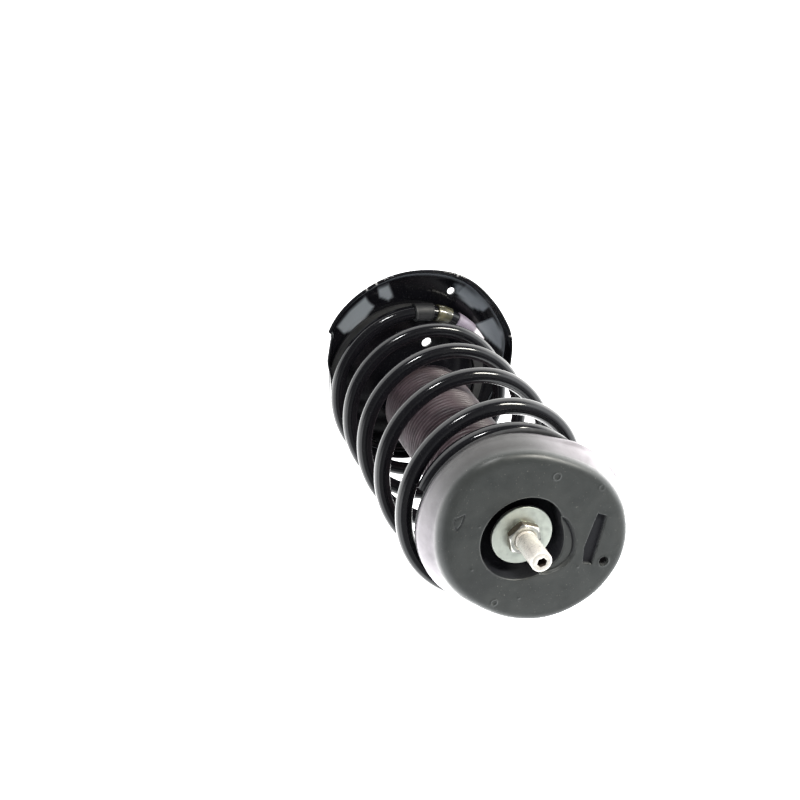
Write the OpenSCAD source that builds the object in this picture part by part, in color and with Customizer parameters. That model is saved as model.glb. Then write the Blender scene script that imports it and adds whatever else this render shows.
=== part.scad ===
// MacPherson strut assembly: twin-tube damper, offset coil spring, dust bellows,
// steering bearing and rubber top mount. The damper stands upright on its tube
// foot: origin at the middle of the foot, +Z up the rod, +Y towards the wheel.

/* [Damper tube] */
// Outer diameter of the tube's foot, which the steering knuckle clamps
tube_od = 51; // [48:0.5:55]
// Wall thickness of the strut tube
tube_wall = 2; // [1.5:0.25:2.5]
// Height of the strut tube
tube_h = 256; // [250:1:258]
// Length at the foot that the knuckle clamps
clamp_len = 75; // [60:1:78]

/* [Piston rod] */
// Diameter of the chromed rod
rod_d = 20; // [18:0.5:22]
// Diameter of the threaded rod end
thread_d = 14; // [12:1:14]
// Height of the top of the rod above the foot
rod_top_z = 452.5; // [440:0.5:460]
// Travel from full rebound down to the bump stop
travel = 80; // [40:5:80]

/* [Coil spring] */
// Wire diameter
wire_d = 11.8; // [10:0.2:12]
// Coil radius at the middle of the wire
coil_r = 68; // [66:0.5:69]
// Coil radius of the tighter bottom turn
coil_r_bottom = 71; // [68:0.5:72]
// Coil radius of the tighter top turn
coil_r_top = 60; // [58:0.5:64]
// Height of the wire's middle at its bottom end
wire_z0 = 186.5; // [186:0.5:188]
// Rise of the first turn
first_pitch = 35.5; // [33:0.5:36]
// Extra rise of each turn over the one below it
pitch_gain = 4.1; // [3:0.1:4.2]
// How far the bottom of the spring stands out towards the wheel
spring_offset_y = 18; // [12:1:20]

/* [Lower spring pan] */
// Radius of the pan's flared rim
pan_rim_r = 87.5; // [84:0.5:90]
// Height of the rim above the pan's floor
pan_rim_h = 15; // [8:1:17]
// Sheet thickness
pan_t = 2.5; // [2:0.25:3]

/* [Top mount] */
// Height of the mount's flat top face, which seats in the body
face_z = 425; // [424:0.5:427]
// Diameter of the round well around the rod nut
well_d = 61; // [56:1:64]
// Depth of the well
well_depth = 18; // [12:1:20]
// Diameter of the clamping washer
washer_d = 42.5; // [38:0.5:46]
// Nut size across its flats
nut_af = 21; // [19:1:22]

/* [Steering bearing] */
// Pitch radius of the ball ring
ball_ring_r = 42; // [41:0.5:43]
// Ball diameter
ball_d = 5; // [4.5:0.1:5]
// Number of balls
ball_count = 24; // [12:1:30]

/* [Hidden] */
$fn = 72;
eps = 0.01;
run_gap = 0.05;             // running clearance of rod and piston
clamp_r = tube_od / 2;
tube_r = clamp_r - 0.5;     // the tube above its clamped foot
bore_r = tube_r - tube_wall;
rod_r = rod_d / 2;
thread_r = thread_d / 2;
wire_r = wire_d / 2;

// Stack of heights in the damper
foot_t = 6;
cylinder_z = [14, 232];     // inner cylinder, bottom and top
cylinder_r = 15;            // inner cylinder bore
cylinder_wall = 1.5;
guide_z = cylinder_z[1];
seal_z = 248;
cap_z = 253;
striker_top = 269;
piston_z = 196;
piston_h = 14;

// Stack of heights in the top mount
spring_top = 394.2;         // top of the wire
seat_z = 396;               // underside of the upper spring seat
seat_t = 2.5;
race_h = 4.3;
ball_z = seat_z + seat_t + race_h + 0.7;
upper_race_z = ball_z + 0.7;
backing_z = 399;            // steel backing plate of the mount
backing_t = 2;
core_z = 401;               // underside of the steel core, on the rod's shoulder
washer_z = 417;
washer_t = 3;
nut_h = 6;
bump_stop_z = striker_top + travel + 1;

// Coil spring: angle turns[0] to turns[1], 360 degrees a turn
turns_end = 5.35;
spring_rings = 165;
close_from = 4.42;          // the top turn closes and tightens from here
pan_floor_z = 177;
pan_mid = [-2, 19];         // middle of the pan's spring seat
spring_foot = [-2.3, spring_offset_y - 2.6];    // middle of the bottom turn
spring_head = [-1, 2];                      // middle of the top turn

function ease(x) = let (t = min(1, max(0, x))) t * t * (3 - 2 * t);
function open_z(u) = wire_z0 + first_pitch * u + pitch_gain / 2 * u * u;
function wire_z(u) = u < close_from ? open_z(u)
    : let (z0 = open_z(close_from), z1 = spring_top - wire_r,
           s = (u - close_from) / (turns_end - close_from))
      z0 + (z1 - z0) * (1 - pow(1 - s, 4));
function wire_coil_r(u) = coil_r_bottom + (coil_r - coil_r_bottom) * ease(u / 0.6)
    + (coil_r_top - coil_r) * ease((u - close_from) / 0.6);
function spring_mid(u) = let (s = (wire_z(u) - wire_z0) / (spring_top - wire_z0))
    [spring_foot[0] + (spring_head[0] - spring_foot[0]) * s,
     (spring_offset_y - 1) * (1 - s) + spring_head[1] * s
        + (spring_foot[1] - spring_offset_y + 1) * (1 - ease(u))];
function wire_point(u) = let (m = spring_mid(u), r = wire_coil_r(u))
    [m[0] + r * cos(360 * u), m[1] + r * sin(360 * u), wire_z(u)];

// Point on the straight runs between the spring's rings, which its sleeves follow too
function run_point(u) = let (s = turns_end / spring_rings, i = floor(u / s), f = u / s - i)
    wire_point(i * s) * (1 - f) + wire_point((i + 1) * s) * f;

// Three lobes that the mount's egg-shaped outline is stretched round: [x, y, radius]
face_lobes = [[-1, 18.5, 48.5], [10, -17.5, 58.7], [0.5, 1.5, 59]];
back_lobes = [[-2, 3, 64.5], [12, -12.5, 63.5], [19, -16.5, 57.5]];

// ---------- helpers ----------

// Upright ring from z0 to z1
module ring(ro, ri, z0, z1) {
    translate([0, 0, z0]) difference() {
        cylinder(r = ro, h = z1 - z0);
        translate([0, 0, -1]) cylinder(r = ri, h = z1 - z0 + 2);
    }
}

// Round bar swept along the spring's line from turn u0 to turn u1
module coil_bar(u0, u1, r, rings, sides = 12) {
    points = [for (i = [0 : rings])
        let (u = u0 + (u1 - u0) * i / rings, p = run_point(u),
             t = wire_point(u + 0.002) - wire_point(u - 0.002), ax = t / norm(t),
             side = cross([0, 0, 1], ax), a = side / norm(side), b = cross(ax, a))
        for (k = [0 : sides - 1]) p + r * (a * cos(360 * k / sides) + b * sin(360 * k / sides))];
    faces = concat(
        [[for (k = [0 : sides - 1]) k]],
        [[for (k = [sides - 1 : -1 : 0]) rings * sides + k]],
        [for (i = [0 : rings - 1]) for (k = [0 : sides - 1])
            let (k1 = (k + 1) % sides, a = i * sides, b = a + sides)
            [a + k, b + k, b + k1]],
        [for (i = [0 : rings - 1]) for (k = [0 : sides - 1])
            let (k1 = (k + 1) % sides, a = i * sides, b = a + sides)
            [a + k, b + k1, a + k1]]);
    polyhedron(points, faces, convexity = 8);
}

// Flat slice of the mount's outline, grown by g
module lobes(outline, g, z, h = 0.5) {
    for (l = outline)
        translate([l[0], l[1], z]) cylinder(r = l[2] + g, h = h, $fn = 40);
}

// ---------- damper ----------

module strut_tube() {
    color([0.05, 0.05, 0.055]) {
        ring(tube_r, bore_r, 0, tube_h);
        ring(clamp_r, bore_r, 0, clamp_len);
    }
}

module foot_cup() {
    color([0.05, 0.05, 0.055]) difference() {
        cylinder(r = bore_r, h = foot_t);
        translate([0, 0, -1]) cylinder(r = bore_r - 4, h = 3);
    }
}

// Welded tab that stops the knuckle at the right depth
module depth_tab() {
    color([0.05, 0.05, 0.055]) difference() {
        translate([-2.5, -tube_r - 12, clamp_len + 3]) cube([5, 14, 26]);
        translate([0, 0, clamp_len]) cylinder(r = tube_r, h = 40);
        translate([0, -tube_r - 12, clamp_len + 29]) rotate([45, 0, 0]) cube([8, 9, 9], center = true);
    }
}

// Ear for the anti-roll bar's drop link
module link_bracket() {
    z = 132;
    reach = 52;
    color([0.05, 0.05, 0.055]) difference() {
        union() {
            translate([-reach, -2.5, z]) rotate([-90, 0, 0]) cylinder(r = 13, h = 5);
            translate([-reach, -2.5, z - 13]) cube([reach - tube_r + 6, 5, 26]);
            translate([-tube_r - 4, -14, z - 20]) cube([8, 28, 40]);
        }
        translate([0, 0, z - 30]) cylinder(r = tube_r, h = 60);
        translate([-reach, -10, z]) rotate([-90, 0, 0]) cylinder(r = 5.25, h = 20);
    }
}

// Small bracket for the brake hose's clip
module hose_bracket() {
    z = 118;
    color([0.05, 0.05, 0.055]) rotate(-40) difference() {
        union() {
            translate([tube_r - 4, -9, z]) cube([24, 18, 2.5]);
            translate([tube_r - 4, -9, z - 16]) cube([6.5, 18, 17]);
            translate([tube_r + 20, 0, z]) cylinder(r = 9, h = 2.5);
        }
        translate([0, 0, z - 20]) cylinder(r = tube_r, h = 40);
        translate([tube_r + 20, 0, z - 1]) cylinder(r = 4.25, h = 5);
    }
}

// Keeps the flared side of the pan: one line cuts it off, the other lets the seat's rim take over
module flare_side() {
    intersection() {
        children();
        rotate(152.2) translate([80 - 300, -200, 0]) cube([300, 400, 300]);
        rotate(197.8) translate([33.4 - 300, -200, 0]) cube([300, 400, 300]);
    }
}

// Pressed pan: a seat floor round the spring, drawn out to a wide rim on one side
module lower_spring_pan() {
    flare_mid = [11, 29];
    module dish(g) {
        hull() {
            translate([pan_mid[0], pan_mid[1], pan_floor_z + pan_rim_h])
                cylinder(r = 71 + g, h = eps);
            translate([pan_mid[0], pan_mid[1], pan_floor_z])
                cylinder(r = 66 + g, h = eps);
        }
        flare_side() hull() {
            translate([flare_mid[0], flare_mid[1], pan_floor_z + pan_rim_h])
                cylinder(r = pan_rim_r + g, h = eps);
            translate([pan_mid[0], pan_mid[1], pan_floor_z])
                cylinder(r = 73 + g, h = eps);
        }
    }
    color([0.04, 0.04, 0.05]) difference() {
        translate([0, 0, -pan_t]) dish(0);
        dish(-pan_t);
        translate([0, 0, pan_floor_z - 20]) cylinder(r = tube_r, h = 60);
        // drain holes: a round one in the flare and an oval one in the floor
        translate([71, 68, pan_floor_z - 20]) cylinder(r = 3.2, h = 60);
        for (dx = [-1, 1]) translate([30.5 + dx, 38.5, pan_floor_z - 20]) cylinder(r = 3.4, h = 60);
    }
}

module pan_collar() {
    color([0.04, 0.04, 0.05])
        translate([0, 0, pan_floor_z - pan_t - 14]) difference() {
            union() {
                cylinder(r = tube_r + 2.5, h = 14);
                translate([0, 0, 11]) cylinder(r = tube_r + 9, h = 3);
            }
            translate([0, 0, -1]) cylinder(r = tube_r, h = 20);
        }
}

// Rubber pad between the bottom turn and the pan, trimmed to the pan's floor
module lower_insulator() {
    module floor_disc(r) {
        translate([pan_mid[0], pan_mid[1], pan_floor_z - 1]) cylinder(r = r, h = 20);
    }
    color([0.09, 0.09, 0.09]) intersection() {
        translate([spring_foot[0], spring_foot[1], 0])
            ring(coil_r_bottom + 3, coil_r_bottom - 10, pan_floor_z, wire_z0 - wire_r - 0.3);
        union() {
            floor_disc(63.1);
            flare_side() floor_disc(70.1);
        }
    }
}

module inner_cylinder() {
    color([0.6, 0.6, 0.6])
        ring(cylinder_r + cylinder_wall, cylinder_r, cylinder_z[0], cylinder_z[1]);
}

module base_valve() {
    color([0.7, 0.6, 0.35]) difference() {
        union() {
            translate([0, 0, foot_t]) cylinder(r = cylinder_r + 3, h = cylinder_z[0] - foot_t);
            translate([0, 0, cylinder_z[0]]) cylinder(r = cylinder_r, h = 6);
        }
        for (a = [0 : 60 : 300]) rotate(a) translate([9, 0, foot_t - 1]) cylinder(r = 1.5, h = 30);
        translate([0, 0, foot_t - 1]) cylinder(r = 4, h = 4);
    }
}

module rod_guide() {
    color([0.5, 0.5, 0.52]) difference() {
        translate([0, 0, guide_z]) cylinder(r = bore_r, h = seal_z - guide_z);
        translate([0, 0, guide_z - 1]) cylinder(r = rod_r + run_gap, h = 40);
    }
}

module rod_seal() {
    color([0.08, 0.08, 0.08])
        ring(bore_r, rod_r + run_gap, seal_z, cap_z);
}

module tube_cap() {
    color([0.05, 0.05, 0.055]) ring(bore_r, rod_r + 2, cap_z, cap_z + 3);
}

// Cap that the bump stop strikes
module striker_cap() {
    color([0.05, 0.05, 0.055]) difference() {
        union() {
            translate([0, 0, tube_h - 20]) cylinder(r = tube_r + 2, h = striker_top - tube_h + 17);
            translate([0, 0, striker_top - 3]) cylinder(r = tube_r - 2, h = 3);
        }
        translate([0, 0, tube_h - 21]) cylinder(r = tube_r, h = 21);
        translate([0, 0, tube_h - 1]) cylinder(r = tube_r - 4, h = striker_top - tube_h - 4);
        translate([0, 0, tube_h]) cylinder(r = rod_r + 1.5, h = 40);
    }
}

// ---------- spring and bellows ----------

module coil_spring() {
    color([0.03, 0.03, 0.035]) coil_bar(0, turns_end, wire_r, spring_rings);
}

// Rubber sleeves on the bottom turn, split along the wire
module coil_sleeve(u0, u1, wall) {
    difference() {
        coil_bar(u0, u1, wire_r + wall, 8, 16);
        coil_bar(u0 - 0.01, u1 + 0.01, wire_r + 0.25, 10, 16);
    }
}

module coil_sleeve_long() { color([0.06, 0.06, 0.06]) coil_sleeve(0.125, 0.165, 1.6); }
module coil_sleeve_short() { color([0.2, 0.18, 0.12]) coil_sleeve(0.086, 0.118, 1.3); }
module coil_sleeve_end() { color([0.1, 0.1, 0.1]) coil_sleeve(0.034, 0.074, 1); }

// Convoluted rubber tube over the rod, wider towards its foot
module dust_bellows() {
    z0 = 200;
    z1 = 392;
    folds = 42;
    wall = 1.4;
    function mid_r(s) = 36.2 - 4 * s;
    outer = [for (i = [0 : 2 * folds]) let (s = i / (2 * folds))
        [mid_r(s) + (i % 2 == 0 ? -1.3 : 0.8), z0 + (z1 - z0) * s]];
    inner = [for (i = [2 * folds : -1 : 0]) let (s = i / (2 * folds))
        [mid_r(s) - wall + (i % 2 == 0 ? -1.3 : 0.8), z0 + (z1 - z0) * s]];
    color([0.1, 0.09, 0.085]) rotate_extrude() polygon(concat(outer, inner));
}

// ---------- upper spring seat and bearing ----------

module upper_spring_seat() {
    color([0.05, 0.05, 0.055]) rotate_extrude() polygon([
        [34.2, seat_z - 12], [36.4, seat_z - 12], [36.4, seat_z], [66, seat_z],
        [67.5, seat_z - 1.5], [70, seat_z - 1.5], [69, seat_z + seat_t - 1],
        [67.5, seat_z + seat_t], [34.2, seat_z + seat_t]]);
}

module upper_insulator() {
    color([0.09, 0.09, 0.09]) translate([spring_head[0], spring_head[1], 0]) {
        ring(coil_r_top + 3, coil_r_top - 12, spring_top + 0.3, seat_z);
        ring(coil_r_top - wire_r - 0.8, coil_r_top - 12, seat_z - 10, spring_top + 0.4);
    }
}

module race(z, groove_z) {
    difference() {
        ring(ball_ring_r + 5.5, ball_ring_r - 5.5, z, z + race_h);
        rotate_extrude() translate([ball_ring_r, groove_z]) circle(r = ball_d / 2 + 0.15);
    }
}

module bearing_lower_race() {
    color([0.75, 0.76, 0.78]) race(seat_z + seat_t, ball_z);
}

module bearing_upper_race() {
    color([0.75, 0.76, 0.78]) race(upper_race_z, ball_z);
}

module bearing_cage() {
    color([0.85, 0.8, 0.65]) difference() {
        ring(ball_ring_r + 4, ball_ring_r - 4, ball_z - 0.4, ball_z + 0.4);
        for (i = [0 : ball_count - 1]) rotate(360 * i / ball_count)
            translate([ball_ring_r, 0, ball_z - 1]) cylinder(r = ball_d / 2 + 0.05, h = 2);
    }
}

module bearing_balls() {
    color([0.8, 0.8, 0.82]) for (i = [0 : ball_count - 1]) rotate(360 * i / ball_count)
        translate([ball_ring_r, 0, ball_z]) sphere(d = ball_d, $fn = 24);
}

// ---------- top mount ----------

module mount_rubber() {
    base_z = backing_z + backing_t;
    top_race_z = upper_race_z + race_h;
    color([0.07, 0.07, 0.07]) difference() {
        hull() {
            lobes(back_lobes, 0, base_z);
            lobes(back_lobes, 0, base_z + 4);
            lobes(face_lobes, 0, face_z - 5.5);
            lobes(face_lobes, -2, face_z - 2);
            lobes(face_lobes, -7, face_z - 0.5);
        }
        translate([0, 0, face_z - well_depth]) cylinder(d = well_d, h = well_depth + 1);
        translate([0, 0, base_z - 1]) cylinder(r = 12, h = 40);
        // groove that holds the bearing's upper race and clears the lower one
        ring(ball_ring_r + 5.5, ball_ring_r - 5.5, base_z - 1, top_race_z);
        ring(ball_ring_r + 6.5, ball_ring_r - 6.5, base_z - 1, upper_race_z - 0.2);
        // moulded pockets in the top face
        translate([36.5, -52.5, face_z - 12]) cylinder(r = 3.2, h = 13);
        face_pocket();
    }
}

// Bent shallow pocket that follows the well on the mount's wide side
module face_pocket() {
    intersection() {
        ring(56, 48.5, face_z - 3, face_z + 1);
        rotate(-40) translate([20, -19.5, face_z - 4]) cube([60, 39, 8]);
    }
}

module mount_backing_plate() {
    color([0.1, 0.1, 0.1]) difference() {
        translate([0, 0, backing_z]) linear_extrude(backing_t)
            hull() for (l = back_lobes) translate([l[0], l[1]]) circle(r = l[2] + 1);
        translate([0, 0, backing_z - 1]) cylinder(r = ball_ring_r + 6, h = 10);
    }
}

// Steel core bonded into the rubber, standing on the rod's shoulder
module mount_core() {
    color([0.6, 0.6, 0.6]) ring(12, thread_r, core_z, washer_z);
}

module mount_washer() {
    color([0.72, 0.74, 0.7])
        ring(washer_d / 2, thread_r, washer_z, washer_z + washer_t);
}

module rod_nut() {
    nut_z = washer_z + washer_t;
    color([0.62, 0.6, 0.55]) difference() {
        intersection() {
            translate([0, 0, nut_z]) rotate(10) cylinder(d = nut_af / cos(30), h = nut_h, $fn = 6);
            translate([0, 0, nut_z - 1]) cylinder(r1 = nut_af, r2 = nut_af / 2, h = nut_h + 1.2);
        }
        translate([0, 0, nut_z - 1]) cylinder(r = thread_r, h = nut_h + 2);
    }
}

// ---------- rod and piston ----------

module piston_rod() {
    color([0.85, 0.85, 0.83]) difference() {
        union() {
            translate([0, 0, piston_z + piston_h]) cylinder(r = rod_r, h = core_z - piston_z - piston_h);
            translate([0, 0, piston_z - 10]) cylinder(r = 5, h = 30);
            translate([0, 0, core_z]) cylinder(r = thread_r, h = rod_top_z - 1.5 - core_z);
            translate([0, 0, rod_top_z - 1.5]) cylinder(r1 = thread_r, r2 = thread_r - 1.2, h = 1.5);
        }
        // groove that parts the free thread from the nut
        ring(thread_r + 1, thread_r - 0.8, washer_z + washer_t + nut_h, washer_z + washer_t + nut_h + 1.5);
        // hexagon socket that holds the rod while the nut is turned
        translate([0, 0, rod_top_z - 8]) cylinder(d = 6 / cos(30), h = 10, $fn = 6);
    }
}

module piston() {
    color([0.55, 0.55, 0.55]) difference() {
        ring(cylinder_r - 0.4, 5, piston_z, piston_z + piston_h);
        translate([0, 0, piston_z + 3]) difference() {
            cylinder(r = cylinder_r + 1, h = 8);
            translate([0, 0, -1]) cylinder(r = cylinder_r - 1.6, h = 10);
        }
        for (a = [0 : 45 : 315]) rotate(a) translate([9, 0, piston_z - 1]) cylinder(r = 1.4, h = 20);
    }
}

module piston_band() {
    color([0.45, 0.25, 0.1])
        ring(cylinder_r - run_gap, cylinder_r - 1.6, piston_z + 3, piston_z + 11);
}

module piston_nut() {
    color([0.6, 0.6, 0.6]) difference() {
        translate([0, 0, piston_z - 7]) cylinder(d = 17 / cos(30), h = 7, $fn = 6);
        translate([0, 0, piston_z - 8]) cylinder(r = 5, h = 9);
    }
}

// Ring on the rod that meets the rod guide at full rebound
module rebound_stop() {
    color([0.2, 0.2, 0.2])
        ring(cylinder_r - 1, rod_r, piston_z + piston_h, guide_z - 0.4);
}

// Ribbed foam stop round the rod, under the mount
module bump_stop() {
    top_z = backing_z + backing_t;
    h = top_z - bump_stop_z;
    r = 23;
    color([0.75, 0.7, 0.5]) rotate_extrude() polygon([
        [rod_r, bump_stop_z], [r - 7, bump_stop_z], [r - 3, bump_stop_z + 0.14 * h],
        [r - 6, bump_stop_z + 0.28 * h], [r - 1, bump_stop_z + 0.45 * h],
        [r - 5, bump_stop_z + 0.6 * h], [r, bump_stop_z + 0.78 * h], [r, top_z],
        [rod_r, top_z]]);
}

strut_tube();
foot_cup();
depth_tab();
link_bracket();
hose_bracket();
lower_spring_pan();
pan_collar();
lower_insulator();
inner_cylinder();
base_valve();
rod_guide();
rod_seal();
tube_cap();
striker_cap();
coil_spring();
coil_sleeve_long();
coil_sleeve_short();
coil_sleeve_end();
dust_bellows();
upper_spring_seat();
upper_insulator();
bearing_lower_race();
bearing_cage();
bearing_balls();
bearing_upper_race();
mount_rubber();
mount_backing_plate();
mount_core();
mount_washer();
rod_nut();
piston_rod();
piston();
piston_band();
piston_nut();
rebound_stop();
bump_stop();
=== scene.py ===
"""Looks of the strut assembly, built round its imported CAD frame.

The row frame is kept: origin at the middle of the tube's foot, +Z up the rod, +Y towards the
wheel. Shapes are written in millimetres and turned into metres when a mesh is made.
"""

import math

import bpy
import numpy as np
from mathutils import Matrix, Vector


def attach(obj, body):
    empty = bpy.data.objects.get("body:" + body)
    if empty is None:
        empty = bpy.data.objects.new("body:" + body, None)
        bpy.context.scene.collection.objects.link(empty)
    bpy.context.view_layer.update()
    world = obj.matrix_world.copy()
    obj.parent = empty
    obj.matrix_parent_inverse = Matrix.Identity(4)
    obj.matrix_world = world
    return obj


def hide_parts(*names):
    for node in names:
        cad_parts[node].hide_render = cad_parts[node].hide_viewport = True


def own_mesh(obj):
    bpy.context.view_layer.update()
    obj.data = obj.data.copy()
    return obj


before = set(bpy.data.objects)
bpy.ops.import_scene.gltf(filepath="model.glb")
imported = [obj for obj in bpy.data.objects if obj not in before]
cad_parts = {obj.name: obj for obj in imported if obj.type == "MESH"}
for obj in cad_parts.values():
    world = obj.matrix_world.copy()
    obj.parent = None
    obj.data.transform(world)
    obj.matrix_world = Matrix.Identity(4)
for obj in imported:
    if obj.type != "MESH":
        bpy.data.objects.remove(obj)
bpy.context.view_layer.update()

MM = 0.001
DAMPER, SEAT, MOUNT = "damper_body", "spring_seat", "top_mount"

# Heights in the frame and sheet thicknesses, in mm
SPRING_FOOT_Z, SPRING_TOP_Z = 180.6, 394.2
BELLOWS_Z = (200.0, 392.0)
PAN_FLOOR_Z, PAN_RIM_Z, PAN_T = 177.0, 192.0, 2.5
PLATE_TOP_Z, FACE_Z, WASHER_Z, WASHER_T = 401.0, 425.0, 417.0, 3.0
ROD_TOP_Z = 452.5


# ---------------------------------------------------------------- mesh helpers


def make_piece(name, verts, faces, material, body, nodes=(), sharp=35, masks=None):
    """A smooth-shaded mesh piece in metres, riding on a body and standing for its CAD nodes."""
    mesh = bpy.data.meshes.new(name)
    mesh.from_pydata((np.asarray(verts, float) * MM).tolist(), [], [tuple(f) for f in faces])
    mesh.validate()
    mesh.update()
    mesh.polygons.foreach_set("use_smooth", [True] * len(mesh.polygons))
    mesh.set_sharp_from_angle(angle=math.radians(sharp))
    for key, values in (masks or {}).items():
        layer = mesh.attributes.new(key, "FLOAT", "POINT")
        layer.data.foreach_set("value", np.asarray(values, np.float32))
    obj = bpy.data.objects.new(name, mesh)
    bpy.context.scene.collection.objects.link(obj)
    mesh.materials.append(material)
    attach(obj, body)
    if nodes:
        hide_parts(*nodes)
    return obj


def even_angles(steps):
    """Angles in radians, evenly spread over one turn."""
    return np.linspace(0, 2 * np.pi, steps, endpoint=False)


def apart(degrees, middle):
    """How far an angle is from another, in degrees between 0 and 180."""
    return np.abs((degrees - middle + 180) % 360 - 180)


def ring_row(radius, angles, z, centre=(0.0, 0.0)):
    """One row of points round an upright line; radius and z are numbers or one for each angle."""
    x = centre[0] + radius * np.cos(angles)
    y = centre[1] + radius * np.sin(angles)
    return np.stack([x, y, np.broadcast_to(z, len(angles))], 1)


def grid_faces(rows, cols, close_rows=False, close_cols=True, start=0):
    """Quads over a rows x cols grid of vertices."""
    out = []
    for i in range(rows if close_rows else rows - 1):
        for k in range(cols if close_cols else cols - 1):
            a, b = i * cols + k, i * cols + (k + 1) % cols
            c, d = ((i + 1) % rows) * cols + (k + 1) % cols, ((i + 1) % rows) * cols + k
            out.append((start + a, start + b, start + c, start + d))
    return out


def lathe(profile, steps=96, centre=(0.0, 0.0), closed=True):
    """Turns a profile of (radius, height) about an upright line. The profile runs anticlockwise
    in the (radius, height) plane, so that the faces look outwards."""
    profile = np.asarray(profile, float)
    angles = even_angles(steps)
    verts = [
        (centre[0] + r * math.cos(a), centre[1] + r * math.sin(a), z)
        for r, z in profile
        for a in angles
    ]
    faces = grid_faces(len(profile), steps, close_rows=closed)
    return verts, faces


def rounded(points, radius, steps=4):
    """A closed profile with each corner rounded. radius is one number or one for each corner."""
    points = [np.asarray(p, float) for p in points]
    radii = radius if hasattr(radius, "__len__") else [radius] * len(points)
    out = []
    for i, p in enumerate(points):
        a, b = points[i - 1], points[(i + 1) % len(points)]
        u, v = a - p, b - p
        lu, lv = np.linalg.norm(u), np.linalg.norm(v)
        cut = min(radii[i], 0.45 * lu, 0.45 * lv)
        if cut < 1e-4:
            out.append(p)
            continue
        start, end = p + u / lu * cut, p + v / lv * cut
        for k in range(steps + 1):
            t = k / steps
            out.append((1 - t) ** 2 * start + 2 * t * (1 - t) * p + t * t * end)
    return out


def sweep(points, tangents, loops):
    """Sweeps a closed section along a line. loops gives the section at each point, as (side, up)
    offsets; both ends are capped."""
    verts = []
    for p, t, loop in zip(points, tangents, loops):
        side = np.cross([0, 0, 1], t)
        side /= np.linalg.norm(side)
        up = np.cross(t, side)
        verts += [p + s * side + u * up for s, u in loop]
    n, m = len(points), len(loops[0])
    faces = grid_faces(n, m)
    faces.append(tuple(range(m))[::-1])
    faces.append(tuple(range((n - 1) * m, n * m)))
    return verts, faces


def smooth_step(x, low, high):
    t = np.clip((np.asarray(x, float) - low) / (high - low), 0, 1)
    return t * t * (3 - 2 * t)


def polar_outline(table, steps, blur=5.0):
    """Smooth closed outline from a table of angle: radius, sampled at even angles."""
    keys = sorted(table)
    a = np.array(keys + [keys[0] + 360], float)
    r = np.array([table[k] for k in keys] + [table[keys[0]]], float)
    fine = np.arange(0, 360, 0.5)
    values = np.interp(fine, np.concatenate([a - 360, a, a + 360]), np.tile(r, 3))
    spread = np.exp(-0.5 * (np.minimum(fine, 360 - fine) / blur) ** 2)
    spread /= spread.sum()
    values = np.real(np.fft.ifft(np.fft.fft(values) * np.fft.fft(spread)))
    at = np.linspace(0, 360, steps, endpoint=False)
    return np.interp(at, np.append(fine, 360), np.append(values, values[0]))


# ---------------------------------------------------------------- materials


class Shader:
    """A material being put together: its principled shader and the nodes that feed it."""

    def __init__(self, name, color, roughness, metallic=0.0, ior=1.5, coat=0.0, coat_roughness=0.1):
        self.material = bpy.data.materials.new(name)
        self.material.use_nodes = True
        self.tree = self.material.node_tree
        self.shader = self.tree.nodes["Principled BSDF"]
        self.set("Base Color", (*color, 1.0))
        self.set("Roughness", roughness)
        self.set("Metallic", metallic)
        self.set("IOR", ior)
        self.set("Coat Weight", coat)
        self.set("Coat Roughness", coat_roughness)
        self.base = color
        self.where = self.node("ShaderNodeTexCoord").outputs["Object"]
        self.height = None

    def set(self, socket, value):
        self.shader.inputs[socket].default_value = value

    def node(self, kind, **values):
        made = self.tree.nodes.new(kind)
        for key, value in values.items():
            if key in made.inputs:
                made.inputs[key].default_value = value
            else:
                setattr(made, key, value)
        return made

    def link(self, a, b):
        self.tree.links.new(a, b)

    def noise(self, scale, detail=3.0, stretch=(1, 1, 1), distortion=0.0):
        """Noise over the object, scale in waves a metre."""
        mapping = self.node("ShaderNodeMapping")
        mapping.inputs["Scale"].default_value = stretch
        self.link(self.where, mapping.inputs["Vector"])
        made = self.node("ShaderNodeTexNoise", Scale=scale, Detail=detail, Distortion=distortion)
        self.link(mapping.outputs["Vector"], made.inputs["Vector"])
        return made.outputs["Fac"]

    def ramp(self, value, stops):
        """Maps a value through (position, level) stops."""
        made = self.node("ShaderNodeValToRGB")
        ramp = made.color_ramp
        while len(ramp.elements) < len(stops):
            ramp.elements.new(0.5)
        for element, (position, level) in zip(ramp.elements, stops):
            element.position = position
            element.color = (*level, 1) if hasattr(level, "__len__") else (level, level, level, 1)
        self.link(value, made.inputs["Fac"])
        return made.outputs["Color"]

    def span(self, value, low, high, start=0.0, end=1.0):
        made = self.node("ShaderNodeMapRange")
        made.inputs["From Min"].default_value = start
        made.inputs["From Max"].default_value = end
        made.inputs["To Min"].default_value = low
        made.inputs["To Max"].default_value = high
        self.link(value, made.inputs["Value"])
        return made.outputs["Result"]

    def mix(self, factor, a, b):
        """Colour a where factor is 0 and b where it is 1; each is a colour or a socket."""
        made = self.node("ShaderNodeMix", data_type="RGBA")
        self.link(factor, made.inputs["Factor"])
        for socket, value in ((made.inputs[6], a), (made.inputs[7], b)):
            if hasattr(value, "is_linked"):
                self.link(value, socket)
            else:
                socket.default_value = (*value, 1.0)
        return made.outputs[2]

    def attribute(self, name):
        return self.node("ShaderNodeAttribute", attribute_name=name).outputs["Fac"]

    def color(self, socket):
        self.link(socket, self.shader.inputs["Base Color"])

    def rough(self, socket):
        self.link(socket, self.shader.inputs["Roughness"])

    def bump(self, value, distance_mm, strength=1.0):
        """Adds one more layer of bump, its height in mm."""
        made = self.node("ShaderNodeBump", Strength=strength, Distance=distance_mm * MM)
        self.link(value, made.inputs["Height"])
        if self.height is not None:
            self.link(self.height, made.inputs["Normal"])
        self.height = made.outputs["Normal"]
        self.link(self.height, self.shader.inputs["Normal"])


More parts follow.
